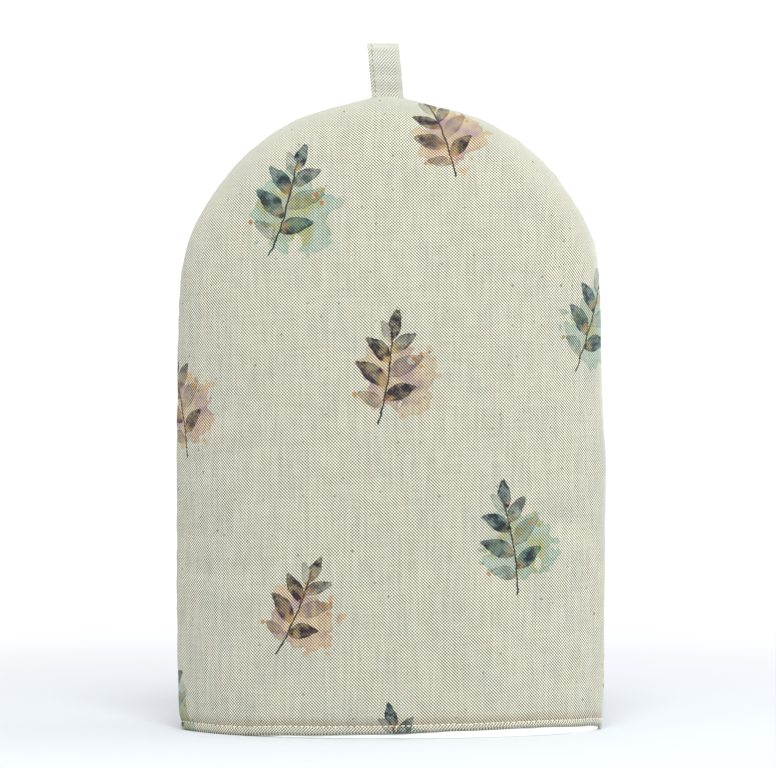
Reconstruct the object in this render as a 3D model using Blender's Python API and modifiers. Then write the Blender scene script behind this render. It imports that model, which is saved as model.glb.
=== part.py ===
"""A padded slip-on cafetiere cosy standing on its hem, in metres with +Z up.

Two arched, padded panels of printed cloth meet along both sides and over the top. A lining of two
like panels lies just inside them and hangs a little lower than the front hem. A folded tape sewn
into the top of the seam makes the hanging loop. The front faces -Y, and the hem stands on Z = 0.
"""

import math
from collections import namedtuple

import bmesh
import bpy

# Outline, as seen from the front
ARCH_RADIUS = 0.1135  # half the width, and the radius of the round top
SPRING_HEIGHT = 0.2250  # where the straight sides turn into the arch
# Section, as seen from the side and from above
HALF_DEPTH = 0.0580  # from the seam to the middle of a panel, at the mouth
RISE_POWER = 2.6  # how long the panels stay upright before they lean in to the top seam
RISE_ROUNDNESS = 0.6  # how blunt the top is
CROWN_POWER = 2.3  # how flat the middle of a panel is
CROWN_ROUNDNESS = 0.7  # how blunt the side seams are

# Layers, each measured inwards from the outer cloth
PANEL_THICKNESS = 0.0060  # printed cloth with its padding
LAYER_GAP = 0.00045
LINING_THICKNESS = 0.0012
SEAM_GAP = 0.0003  # between a front piece and its back piece
LINING_HEM_HEIGHT = 0.0004

# The seam, pulled up where the tape is sewn in
SEAM_LIFT = 0.0024
SEAM_LIFT_REACH = 0.0150
SEAM_LIFT_FADE = 8  # the larger, the closer to the seam the lift stays

# Hanging loop
LOOP_WIDTH = 0.0170
TAPE_THICKNESS = 0.0013
LOOP_TOP = 0.3704
LOOP_FOOT_X = -0.0017  # middle of the tape where it leaves the seam
LOOP_LEAN = -0.088  # sideways shift for each metre of height
TAPE_IN_SEAM = 0.0050  # length of tape held between the panels
NOTCH_GAP = 0.0003

# Mesh fineness
PANEL_COLUMNS = 24
PANEL_ROWS = 20
LOOP_STEPS_PER_ROW = 3

SideRow = namedtuple("SideRow", "height left right")
SIDE_ROWS = (  # how far each side stands out from the straight, by height
    SideRow(0.000, 0.0008, 0.0002),
    SideRow(0.030, 0.0015, 0.0008),
    SideRow(0.080, 0.0020, 0.0015),
    SideRow(0.140, 0.0020, 0.0021),
    SideRow(0.190, 0.0016, 0.0009),
    SideRow(0.225, 0.0000, 0.0000),
)

HemRow = namedtuple("HemRow", "x rise")
FRONT_HEM_ROWS = (  # the front hem is sewn unevenly: it stands at the left and rides up to the right
    HemRow(-0.1150, 0.0000),
    HemRow(-0.0850, 0.0000),
    HemRow(-0.0500, 0.0016),
    HemRow(-0.0100, 0.0026),
    HemRow(0.0350, 0.0042),
    HemRow(0.0800, 0.0048),
    HemRow(0.1050, 0.0034),
    HemRow(0.1150, 0.0015),
)

FoldRow = namedtuple("FoldRow", "x height angle_deg half_length half_width rise")
FOLD_ROWS = (  # soft folds of the front panel
    FoldRow(-0.070, 0.318, 33.0, 0.018, 0.007, 0.0012),
    FoldRow(-0.098, 0.140, -6.0, 0.022, 0.009, -0.0010),
    FoldRow(-0.098, 0.089, 4.0, 0.022, 0.009, -0.0010),
    FoldRow(0.092, 0.150, -70.0, 0.040, 0.010, 0.0010),
)

LoopRow = namedtuple("LoopRow", "height spread")
LOOP_ROWS = (  # middle of the tape: share of the way up, and distance from the seam's plane
    LoopRow(0.00, 0.00085),
    LoopRow(0.22, 0.00090),
    LoopRow(0.45, 0.00260),
    LoopRow(0.70, 0.00400),
    LoopRow(0.90, 0.00360),
    LoopRow(1.00, 0.00180),
)


def blend_rows(rows, at, column):
    """Reads a column of a table at a place given by its first column, easing from row to row."""
    if at <= rows[0][0]:
        return getattr(rows[0], column)
    for low, high in zip(rows, rows[1:]):
        if at <= high[0]:
            share = (at - low[0]) / (high[0] - low[0])
            eased = share * share * (3 - 2 * share)
            return getattr(low, column) + eased * (getattr(high, column) - getattr(low, column))
    return getattr(rows[-1], column)


def front_hem(x):
    return blend_rows(FRONT_HEM_ROWS, x, "rise")


def back_hem(x):
    return 0.0


def lining_hem(x):
    return LINING_HEM_HEIGHT


def front_folds(x, z):
    """How far the soft folds push the front panel out at one place."""
    push = 0.0
    for fold in FOLD_ROWS:
        turn = math.radians(fold.angle_deg)
        dx = x - fold.x
        dz = z - fold.height
        along = dx * math.cos(turn) + dz * math.sin(turn)
        across = dz * math.cos(turn) - dx * math.sin(turn)
        push += fold.rise * math.exp(-((along / fold.half_length) ** 2) - (across / fold.half_width) ** 2)
    return push


def no_folds(x, z):
    return 0.0


def dome_point(across, up, inset, facing, hem, folds):
    """A point of one layer. across runs from -1 to 1 side to side, and up from 0 to 1, hem to seam."""
    radius = ARCH_RADIUS - inset
    angle = across * math.pi / 2
    x = radius * math.sin(angle)
    foot = hem(x)
    column_top = SPRING_HEIGHT + radius * math.cos(angle)
    risen = math.sin(up * math.pi / 2)
    z = foot + risen * (column_top - foot)

    above_spring = max(z - SPRING_HEIGHT, 0.0)
    half_width = math.sqrt(max(radius**2 - above_spring**2, 0.0))
    crown = min(abs(x) / half_width, 1.0) if half_width > 0 else 1.0
    height_share = min(z / (SPRING_HEIGHT + radius), 1.0)
    on_seam = abs(across) == 1 or up == 1
    depth = (
        0.0
        if on_seam
        else (HALF_DEPTH - inset)
        * (1 - height_share**RISE_POWER) ** RISE_ROUNDNESS
        * (1 - crown**CROWN_POWER) ** CROWN_ROUNDNESS
    )
    settled = depth / (depth + 2 * PANEL_THICKNESS)  # folds fade out at the seams
    depth += folds(x, z) * settled

    side = blend_rows(SIDE_ROWS, z, "left" if x < 0 else "right")
    lift = SEAM_LIFT * math.exp(-(((x - LOOP_FOOT_X) / SEAM_LIFT_REACH) ** 2)) * risen**SEAM_LIFT_FADE
    return (
        x + math.sin(angle) * side,
        facing * (depth + SEAM_GAP / 2),
        z + lift,
    )


def new_object(name, mesh, collection):
    piece = bpy.data.objects.new(name, mesh)
    collection.objects.link(piece)
    return piece


def dress(piece, material):
    piece.data.materials.clear()
    piece.data.materials.append(material)


def principled(name, colour, roughness):
    material = bpy.data.materials.new(name)
    material.use_nodes = True
    shader = material.node_tree.nodes["Principled BSDF"]
    shader.inputs["Base Color"].default_value = (*colour, 1.0)
    shader.inputs["Roughness"].default_value = roughness
    shader.inputs["Metallic"].default_value = 0.0
    return material


def make_panel(name, collection, facing, insets, hem, folds):
    """One padded or lining panel: a flat grid given a second layer, then both laid on the dome."""
    bm = bmesh.new()
    bmesh.ops.create_grid(bm, x_segments=PANEL_COLUMNS, y_segments=PANEL_ROWS, size=1.0)
    grown = bmesh.ops.extrude_face_region(bm, geom=bm.faces[:])
    inner_layer = [item for item in grown["geom"] if isinstance(item, bmesh.types.BMVert)]
    bmesh.ops.translate(bm, verts=inner_layer, vec=(0.0, 0.0, 1.0))
    outer_inset, inner_inset = insets
    for vert in bm.verts:
        inset = inner_inset if vert.co.z > 0.5 else outer_inset
        across = round(vert.co.x, 6)
        up = round((vert.co.y + 1) / 2, 6)
        vert.co = dome_point(across, up, inset, facing, hem, folds)
    if bm.calc_volume(signed=True) < 0:
        bmesh.ops.reverse_faces(bm, faces=bm.faces[:])
    mesh = bpy.data.meshes.new(name)
    bm.to_mesh(mesh)
    bm.free()
    mesh.shade_smooth()
    mesh.set_sharp_from_angle(angle=math.radians(50))
    return new_object(name, mesh, collection)


def seam_top():
    """Height of the seam where the tape leaves it."""
    return dome_point(0.0, 1.0, 0.0, 1, back_hem, no_folds)[2]


def tape_shift(z):
    """How far the leaning tape has moved sideways at a height."""
    return LOOP_FOOT_X + LOOP_LEAN * (z - seam_top())


def loop_path():
    """Middle line of the tape as (y, z): up the front leg, over the fold and down the back leg."""
    foot = seam_top() - TAPE_IN_SEAM
    rise = LOOP_TOP - TAPE_THICKNESS / 2 - foot
    steps = (len(LOOP_ROWS) - 1) * LOOP_STEPS_PER_ROW
    leg = []
    for step in range(steps + 1):
        share = math.sin(step / steps * math.pi / 2)
        leg.append((blend_rows(LOOP_ROWS, share, "spread"), foot + share * rise))
    return [(-y, z) for y, z in leg] + [(y, z) for y, z in reversed(leg)]


def make_loop(name, collection):
    """The tape: its middle line drawn across its width, then given its thickness."""
    bm = bmesh.new()
    line = [bm.verts.new((-LOOP_WIDTH / 2, y, z)) for y, z in loop_path()]
    edges = [bm.edges.new(pair) for pair in zip(line, line[1:])]
    grown = bmesh.ops.extrude_edge_only(bm, edges=edges)
    far_side = [item for item in grown["geom"] if isinstance(item, bmesh.types.BMVert)]
    bmesh.ops.translate(bm, verts=far_side, vec=(LOOP_WIDTH, 0.0, 0.0))
    for vert in bm.verts:
        vert.co.x += tape_shift(vert.co.z)
    bmesh.ops.recalc_face_normals(bm, faces=bm.faces[:])
    mesh = bpy.data.meshes.new(name)
    bm.to_mesh(mesh)
    bm.free()
    mesh.shade_smooth()
    loop = new_object(name, mesh, collection)
    thickness = loop.modifiers.new("tape_thickness", "SOLIDIFY")
    thickness.thickness = TAPE_THICKNESS
    thickness.offset = 0.0
    thickness.use_even_offset = True
    return loop


def make_loop_notch(collection):
    """The room in the top of both panels that the tape's two legs fill."""
    legs = 2 * (LOOP_ROWS[0].spread + TAPE_THICKNESS / 2 + NOTCH_GAP)
    floor = seam_top() - TAPE_IN_SEAM - NOTCH_GAP
    ceiling = LOOP_TOP
    bpy.ops.mesh.primitive_cube_add(size=1.0)
    notch = bpy.context.object
    notch.name = "loop_notch"
    for vert in notch.data.vertices:
        z = floor if vert.co.z < 0 else ceiling
        half_width = math.copysign(LOOP_WIDTH / 2 + NOTCH_GAP, vert.co.x)
        vert.co = (tape_shift(z) + half_width, legs * vert.co.y, z)
    for owner in notch.users_collection:
        owner.objects.unlink(notch)
    collection.objects.link(notch)
    notch.hide_render = True
    notch.display_type = "WIRE"
    return notch


def cut(piece, cutter):
    room = piece.modifiers.new(cutter.name, "BOOLEAN")
    room.operation = "DIFFERENCE"
    room.solver = "EXACT"
    room.object = cutter


def main():
    for old in list(bpy.data.objects):
        bpy.data.objects.remove(old, do_unlink=True)
    parts = bpy.data.collections.new("cafetiere_cosy")
    cutters = bpy.data.collections.new("cutters")
    bpy.context.scene.collection.children.link(parts)
    bpy.context.scene.collection.children.link(cutters)

    padded = (0.0, PANEL_THICKNESS)
    lining_outside = PANEL_THICKNESS + LAYER_GAP
    lined = (lining_outside, lining_outside + LINING_THICKNESS)
    front = make_panel("front_panel", parts, -1, padded, front_hem, front_folds)
    back = make_panel("back_panel", parts, 1, padded, back_hem, no_folds)
    lining_front = make_panel("lining_front", parts, -1, lined, lining_hem, front_folds)
    lining_back = make_panel("lining_back", parts, 1, lined, lining_hem, no_folds)
    loop = make_loop("hanging_loop", parts)
    notch = make_loop_notch(cutters)
    cut(front, notch)
    cut(back, notch)

    dress(front, principled("front_printed_cloth", (0.52, 0.49, 0.38), 0.92))
    dress(back, principled("back_printed_cloth", (0.50, 0.47, 0.36), 0.92))
    dress(lining_front, principled("front_lining_cloth", (0.86, 0.87, 0.84), 0.95))
    dress(lining_back, principled("back_lining_cloth", (0.84, 0.85, 0.82), 0.95))
    dress(loop, principled("loop_cloth", (0.50, 0.47, 0.38), 0.92))


main()
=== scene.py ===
"""Looks of a padded slip-on cafetiere cosy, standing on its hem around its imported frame.

Sizes are in metres, +Z is up and the front faces -Y. Two padded panels of natural canvas with a
watercolour leaf print meet along both sides and over the top, a white cotton lining hangs inside
them, and a folded tape sewn into the top of the seam makes the hanging loop.
"""

import logging  # noqa: E402
import math  # noqa: E402
from dataclasses import dataclass, field  # noqa: E402
from enum import Enum  # noqa: E402
from typing import Any, NamedTuple, Sequence  # noqa: E402

import bpy  # noqa: E402
import numpy as np  # noqa: E402
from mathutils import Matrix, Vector  # noqa: E402


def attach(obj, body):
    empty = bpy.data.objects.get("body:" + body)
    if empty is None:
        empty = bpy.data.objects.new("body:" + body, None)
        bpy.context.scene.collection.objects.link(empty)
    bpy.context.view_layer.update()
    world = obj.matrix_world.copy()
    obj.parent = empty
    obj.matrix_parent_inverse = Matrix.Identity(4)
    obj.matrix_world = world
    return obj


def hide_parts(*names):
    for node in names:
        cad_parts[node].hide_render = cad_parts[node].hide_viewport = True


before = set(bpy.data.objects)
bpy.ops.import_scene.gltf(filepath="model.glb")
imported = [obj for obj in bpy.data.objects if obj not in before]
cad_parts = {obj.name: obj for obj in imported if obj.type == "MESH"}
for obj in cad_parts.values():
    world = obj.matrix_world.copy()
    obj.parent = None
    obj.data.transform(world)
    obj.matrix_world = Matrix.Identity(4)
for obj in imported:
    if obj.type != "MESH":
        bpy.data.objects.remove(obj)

LOG = logging.getLogger("cosy")
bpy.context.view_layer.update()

Colour = tuple[float, float, float]
Socket = bpy.types.NodeSocket


class Side(Enum):
    """Which way a panel faces along Y."""

    FRONT = -1
    BACK = 1


class Slot(Enum):
    """The record's material slots."""

    CANVAS = "printed_cloth"
    LINING = "lining_cloth"
    TAPE = "loop_tape"


# ---------------------------------------------------------------- tables


class SeamRow(NamedTuple):
    """How far the seam stands out from the plain outline, going up the left, over and down the right."""

    along: float
    out: float


SEAM_ROWS = (
    SeamRow(0.000, 0.0018),
    SeamRow(0.030, 0.0022),
    SeamRow(0.080, 0.0028),
    SeamRow(0.140, 0.0028),
    SeamRow(0.190, 0.0026),
    SeamRow(0.232, 0.0020),
    SeamRow(0.268, 0.0034),
    SeamRow(0.296, 0.0026),
    SeamRow(0.348, 0.0032),
    SeamRow(0.382, 0.0018),
    SeamRow(0.425, 0.0012),
    SeamRow(0.459, 0.0026),
    SeamRow(0.512, 0.0030),
    SeamRow(0.540, 0.0036),
    SeamRow(0.572, 0.0004),
    SeamRow(0.617, 0.0012),
    SeamRow(0.667, 0.0030),
    SeamRow(0.727, 0.0026),
    SeamRow(0.777, 0.0022),
    SeamRow(0.807, 0.0025),
)


class HemRow(NamedTuple):
    """The front hem's height and its topstitching's distance above it, across the front."""

    x: float
    rise: float
    stitch: float


FRONT_HEM_ROWS = (
    HemRow(-0.1150, 0.0000, 0.0044),
    HemRow(-0.0850, 0.0000, 0.0046),
    HemRow(-0.0500, 0.0016, 0.0044),
    HemRow(-0.0100, 0.0026, 0.0040),
    HemRow(0.0350, 0.0042, 0.0033),
    HemRow(0.0800, 0.0048, 0.0030),
    HemRow(0.1050, 0.0034, 0.0034),
    HemRow(0.1150, 0.0015, 0.0040),
)
BACK_HEM_ROWS = (
    HemRow(-0.1150, 0.0000, 0.0042),
    HemRow(-0.0300, 0.0000, 0.0046),
    HemRow(0.0500, 0.0000, 0.0043),
    HemRow(0.1150, 0.0000, 0.0047),
)


class FoldRow(NamedTuple):
    """One soft fold of the front panel: a long low hump, or a hollow where rise is negative."""

    x: float
    height: float
    angle_deg: float
    half_length: float
    half_width: float
    rise: float


FRONT_FOLD_ROWS = (
    FoldRow(-0.070, 0.318, 33.0, 0.018, 0.007, 0.0012),
    FoldRow(-0.084, 0.149, 15.0, 0.026, 0.006, -0.0030),
    FoldRow(-0.090, 0.131, 8.0, 0.024, 0.007, 0.0016),
    FoldRow(-0.106, 0.106, 10.0, 0.013, 0.006, -0.0036),
    FoldRow(-0.092, 0.086, 0.0, 0.020, 0.005, -0.0030),
    FoldRow(-0.094, 0.075, -5.0, 0.018, 0.006, 0.0016),
    FoldRow(-0.073, 0.060, 70.0, 0.022, 0.011, -0.0016),
    FoldRow(0.094, 0.111, -25.0, 0.018, 0.005, -0.0034),
    FoldRow(0.094, 0.099, -20.0, 0.016, 0.006, 0.0007),
    FoldRow(0.064, 0.084, -50.0, 0.026, 0.012, -0.0028),
    FoldRow(0.092, 0.168, -70.0, 0.030, 0.009, 0.0012),
)
BACK_FOLD_ROWS = (
    FoldRow(0.060, 0.290, -40.0, 0.026, 0.009, 0.0009),
    FoldRow(-0.090, 0.110, 5.0, 0.024, 0.009, -0.0009),
)


class HumpRow(NamedTuple):
    """One size of unevenness: from hump to hump, their height, and a shift that sets it apart."""

    size: float
    height: float
    x_shift: float
    z_shift: float


BODY_HUMPS = (
    HumpRow(0.070, 0.0008, 0.0, 0.0),
    HumpRow(0.031, 0.0004, 9.0, 0.0),
    HumpRow(0.013, 0.00014, 0.0, 7.0),
)
UNSETTLED_HUMPS = (
    HumpRow(0.034, 0.0009, 0.0, 0.0),
    HumpRow(0.016, 0.0006, 0.0, 5.0),
)


class LoopRow(NamedTuple):
    """Middle of the tape: share of the way up, and its distance from the seam's plane."""

    share: float
    spread: float


LOOP_ROWS = (
    LoopRow(0.00, 0.00085),
    LoopRow(0.22, 0.00090),
    LoopRow(0.45, 0.00260),
    LoopRow(0.70, 0.00400),
    LoopRow(0.90, 0.00360),
    LoopRow(1.00, 0.00180),
)


class LeafRow(NamedTuple):
    """One leaf of a sprig, in shares of the sprig's height."""

    foot: float
    turn_deg: float
    length: float
    width: float
    strength: float


SPRIG_LEAVES = (
    LeafRow(0.10, -66.0, 0.27, 0.125, 0.50),
    LeafRow(0.17, 62.0, 0.33, 0.150, 1.00),
    LeafRow(0.29, -58.0, 0.37, 0.160, 0.95),
    LeafRow(0.38, 55.0, 0.38, 0.155, 0.42),
    LeafRow(0.50, -50.0, 0.33, 0.145, 1.00),
    LeafRow(0.58, 46.0, 0.31, 0.130, 0.80),
    LeafRow(0.67, -30.0, 0.25, 0.105, 0.45),
    LeafRow(0.70, 6.0, 0.31, 0.125, 1.00),
)


class Pigment(Enum):
    """Watercolours, as the share of light that each lets through."""

    SLATE = (0.018, 0.032, 0.058)
    TEAL = (0.030, 0.190, 0.225)
    PLUM = (0.040, 0.020, 0.050)
    OLIVE = (0.230, 0.170, 0.040)
    OCHRE = (0.80, 0.50, 0.10)
    RUST = (0.72, 0.26, 0.10)
    PALE_TEAL = (0.30, 0.62, 0.64)
    PALE_MOSS = (0.64, 0.66, 0.30)
    PEACH = (0.98, 0.56, 0.24)
    MAUVE = (0.66, 0.44, 0.58)
    STEM = (0.060, 0.075, 0.080)
    CLEAR = (1.0, 1.0, 1.0)


class BudRow(NamedTuple):
    """One round bud beside a sprig's stem, in shares of the sprig's height."""

    x: float
    z: float
    size: float


SPRIG_BUDS = (
    BudRow(0.250, 0.560, 0.026),
    BudRow(0.315, 0.500, 0.021),
    BudRow(0.300, 0.610, 0.018),
    BudRow(-0.235, 0.190, 0.022),
)


class SprigRow(NamedTuple):
    """One sprig on the cloth: place of its foot, turn, height, and how warm its pigments are."""

    u: float
    v: float
    turn_deg: float
    height: float
    warmth: float


REPEAT_WIDTH = 0.34
REPEAT_HEIGHT = 0.40
SPRIG_ROWS = (
    SprigRow(-0.064, 0.258, 14.0, 0.064, 0.15),
    SprigRow(0.034, 0.302, -20.0, 0.054, 0.80),
    SprigRow(0.106, 0.196, 18.0, 0.062, 0.35),
    SprigRow(-0.118, 0.150, -16.0, 0.058, 0.95),
    SprigRow(-0.006, 0.168, 6.0, 0.060, 0.55),
    SprigRow(0.068, 0.078, -12.0, 0.060, 0.10),
    SprigRow(-0.060, 0.046, 22.0, 0.056, 0.70),
    SprigRow(0.142, 0.010, 12.0, 0.058, 0.85),
    SprigRow(-0.148, -0.012, 10.0, 0.060, 0.30),
    SprigRow(0.012, -0.034, -18.0, 0.056, 0.20),
)


# ---------------------------------------------------------------- small tools


def ease(share: np.ndarray) -> np.ndarray:
    """Eases a share between 0 and 1, flat at both ends."""
    return share * share * (3 - 2 * share)


def ramp(value: np.ndarray, start: np.ndarray | float, reach: float) -> np.ndarray:
    """Rises from 0 at start to 1 after reach."""
    return np.clip((value - start) / reach, 0.0, 1.0)


def hump(distance: np.ndarray, width: float) -> np.ndarray:
    """Soft hump: 1 at no distance, fading over its width."""
    return np.exp(-((distance / width) ** 2))


def unit(vectors: np.ndarray) -> np.ndarray:
    """The same vectors with a length of 1."""
    return vectors / np.maximum(np.linalg.norm(vectors, axis=-1, keepdims=True), 1e-12)


def run_length(line: np.ndarray) -> np.ndarray:
    """Distance along a line at each of its points."""
    return np.concatenate([[0.0], np.cumsum(np.linalg.norm(np.diff(line, axis=0), axis=1))])


def together(*values: np.ndarray | float) -> np.ndarray:
    """Values that share a grid, as the last axis of one array."""
    return np.stack(np.broadcast_arrays(*values), axis=-1)


def read_between(
    table: np.ndarray, row: np.ndarray, column: np.ndarray, down: np.ndarray, across: np.ndarray
) -> np.ndarray:
    """Reads a table between its cells, wrapping round its ends.

    Args:
        table: The table.
        row: Row before each place.
        column: Column before each place.
        down: Share of the way to the next row.
        across: Share of the way to the next column.

    Returns:
        The value at each place.
    """
    rows, columns = table.shape
    this, after = column % columns, (column + 1) % columns
    near = table[row % rows, this] * (1 - down) + table[(row + 1) % rows, this] * down
    far = table[row % rows, after] * (1 - down) + table[(row + 1) % rows, after] * down
    return near * (1 - across) + far * across


def ease_rows(rows: Sequence[NamedTuple], at: np.ndarray, column: str) -> np.ndarray:
    """Reads a column of a table at places given by its first column, easing from row to row.

    Args:
        rows: The table, in rising order of its first column.
        at: The places to read at.
        column: The column's name.

    Returns:
        The column's values at those places.
    """
    places = np.array([row[0] for row in rows])
    values = np.array([getattr(row, column) for row in rows])
    at = np.clip(np.asarray(at, float), places[0], places[-1])
    low = np.clip(np.searchsorted(places, at, side="right") - 1, 0, len(rows) - 2)
    share = (at - places[low]) / (places[low + 1] - places[low])
    return values[low] + ease(share) * (values[low + 1] - values[low])


@dataclass(frozen=True)
class Unevenness:
    """Smooth seeded unevenness over a plane, from -1 to 1."""

    seed: int
    cells: int = 61
    start: float = 1000.0

    def at(self, x: np.ndarray, y: np.ndarray, size: float) -> np.ndarray:
        """Reads it at places.

        Args:
            x: First coordinate of each place.
            y: Second coordinate of each place.
            size: Distance from one hump to the next.

        Returns:
            The unevenness at each place.
        """
        table = np.random.default_rng(self.seed).uniform(-1.0, 1.0, (self.cells, self.cells))
        gx, gy = np.asarray(x) / size + self.start, np.asarray(y) / size + self.start
        ix, iy = np.floor(gx).astype(int), np.floor(gy).astype(int)
        return read_between(table, ix, iy, ease(gx - ix), ease(gy - iy))

    def along(self, run: np.ndarray, line: float, size: float) -> np.ndarray:
        """Reads it along a numbered line of its own."""
        return self.at(run, 0 * run + line, size)

    def humps(self, rows: Sequence[HumpRow], x: np.ndarray, z: np.ndarray) -> np.ndarray:
        """Adds up humps of several sizes."""
        return sum(row.height * self.at(x + row.x_shift, z + row.z_shift, row.size) for row in rows)


def grid_normals(points: np.ndarray) -> np.ndarray:
    """Unit normals of a grid of points, rows by columns by 3."""
    return unit(np.cross(np.gradient(points, axis=1), np.gradient(points, axis=0)))


def add_object(name: str, data: Any) -> bpy.types.Object:
    """Adds an object with its mesh, light or camera to the scene."""
    made = bpy.data.objects.new(name, data)
    bpy.context.scene.collection.objects.link(made)
    return made


def new_piece(
    name: str, points: np.ndarray, faces: np.ndarray, facts: dict[str, np.ndarray] | None = None
) -> bpy.types.Object:
    """Makes a smooth mesh object with its faces turned outwards.

    Args:
        name: The piece's name.
        points: Its points, n by 3.
        faces: Its faces, m by 4, as point numbers.
        facts: Named values to keep at each point, n by 3.

    Returns:
        The new object.
    """
    a, b, c, d = (points[faces[:, i]] for i in range(4))
    volume = (np.cross(b - a, c - a) * a).sum() + (np.cross(c - a, d - a) * a).sum()
    if volume < 0:
        faces = faces[:, ::-1]
    mesh = bpy.data.meshes.new(name)
    mesh.from_pydata(points.tolist(), [], faces.tolist())
    mesh.validate()
    for fact, values in (facts or {}).items():
        kept = mesh.attributes.new(fact, "FLOAT_VECTOR", "POINT")
        kept.data.foreach_set("vector", values.astype(np.float32).ravel())
    mesh.shade_smooth()
    return add_object(name, mesh)


def grid_faces(rows: int, columns: int, start: int = 0, round_it: bool = False) -> np.ndarray:
    """Four-sided faces of a grid of points.

    Args:
        rows: Rows of points.
        columns: Points in each row.
        start: Number of the grid's first point.
        round_it: Whether the last column joins the first.

    Returns:
        The faces, as point numbers.
    """
    last = columns if round_it else columns - 1
    i, j = np.meshgrid(np.arange(rows - 1), np.arange(last), indexing="ij")
    k = (j + 1) % columns
    corners = (i * columns + j, i * columns + k, (i + 1) * columns + k, (i + 1) * columns + j)
    return start + np.stack(corners, axis=-1).reshape(-1, 4)


# ---------------------------------------------------------------- the dome that every cloth follows


@dataclass(frozen=True)
class Dome:
    """The cosy's outline, section and seam, which the panels and the lining share."""

    radius: float = 0.1135
    spring: float = 0.2250
    half_depth: float = 0.0580
    rise_power: float = 2.6
    rise_roundness: float = 0.6
    crown_power: float = 2.3
    crown_roundness: float = 0.7
    panel_thickness: float = 0.0060
    seam_lift: float = 0.0024
    seam_lift_reach: float = 0.0150
    seam_lift_fade: float = 8.0
    loop_x: float = -0.0017
    tape_room_half_width: float = 0.0125
    tape_room_edge: float = 0.0035
    tape_room_height: float = 0.0160
    corner_pull: float = 0.0020
    corner_height: float = 0.0110

    def half_width(self, z: np.ndarray, inset: np.ndarray | float = 0.0) -> np.ndarray:
        """Half the width of a layer at a height."""
        above = np.maximum(z - self.spring, 0.0)
        return np.sqrt(np.maximum((self.radius - inset) ** 2 - above**2, 1e-12))

    def depth(self, x: np.ndarray, z: np.ndarray, inset: np.ndarray | float) -> np.ndarray:
        """Distance from the seam's plane to a layer.

        Args:
            x: Sideways place, already inside the layer's outline.
            z: Height.
            inset: How far inside the outer cloth the layer is.

        Returns:
            The distance at each place.
        """
        crown = np.clip(np.abs(x) / self.half_width(z, inset), 0.0, 1.0)
        share = np.clip(z / (self.spring + (self.radius - inset)), 0.0, 1.0)
        return (
            (self.half_depth - inset)
            * (1 - share**self.rise_power) ** self.rise_roundness
            * (1 - crown**self.crown_power) ** self.crown_roundness
        )

    def column_top(self, angle: np.ndarray, inset: np.ndarray | float) -> np.ndarray:
        """Height of the seam at the top of each column."""
        return self.spring + (self.radius - inset) * np.cos(angle)

    def pull(self, angle: np.ndarray, z: np.ndarray) -> np.ndarray:
        """How far the bottom corners are drawn in towards the middle."""
        low = np.clip(1 - z / self.corner_height, 0.0, 1.0)
        return self.corner_pull * low**2.4 * np.abs(np.sin(angle)) ** 7

    def tape_room(self, x: np.ndarray, z: np.ndarray, top: np.ndarray) -> np.ndarray:
        """Share of the full room that the panels leave for the tape between them."""
        beside = ease(ramp(-np.abs(x - self.loop_x), -self.tape_room_half_width, self.tape_room_edge))
        return beside * ramp(z - top, -self.tape_room_height, self.tape_room_height) ** 2

    def seam_place(self, x: np.ndarray, z: np.ndarray) -> np.ndarray:
        """Distance along the seam from its lower left end to the nearest place on it."""
        over = self.spring + self.radius * np.arctan2(z - self.spring, -x)
        right = 2 * self.spring + math.pi * self.radius - z
        return np.where(z > self.spring, over, np.where(x < 0, z, right))

    def seam_distance(self, points: np.ndarray) -> np.ndarray:
        """Distance of each point from the seam."""
        x, y, z = np.moveaxis(points, -1, 0)
        out = np.where(z > self.spring, np.hypot(x, z - self.spring), np.abs(x))
        return np.hypot(np.maximum(self.radius - out, 0.0), y)

    def cloth_place(self, x: np.ndarray, z: np.ndarray, steps: int = 36) -> np.ndarray:
        """Place on the flat cloth of each point of the outer layer, measured over the surface.

        Args:
            x: Sideways place of each point.
            z: Height of each point.
            steps: Number of short straight lengths to measure with.

        Returns:
            Sideways and upward distance along the cloth, and zero, n by 3.
        """
        share = np.linspace(0.0, 1.0, steps + 1)[:, None]
        half = self.half_width(z)
        reach = np.arcsin(np.clip(np.abs(x) / half, 0.0, 1.0))
        across = half * np.sin(share * reach)
        deep = self.depth(across, np.broadcast_to(z, across.shape), 0.0)
        u = np.hypot(np.diff(across, axis=0), np.diff(deep, axis=0)).sum(axis=0)
        top = self.spring + np.sqrt(np.maximum(self.radius**2 - x**2, 0.0))
        rise = np.arcsin(np.clip(z / top, 0.0, 1.0))
        up = top * np.sin(share * rise)
        deep = self.depth(np.broadcast_to(x, up.shape), up, 0.0)
        v = np.hypot(np.diff(up, axis=0), np.diff(deep, axis=0)).sum(axis=0)
        return np.stack([np.copysign(u, x), v, np.zeros_like(u)], axis=-1)


DOME = Dome()


# ---------------------------------------------------------------- shader helpers and shared groups


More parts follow.
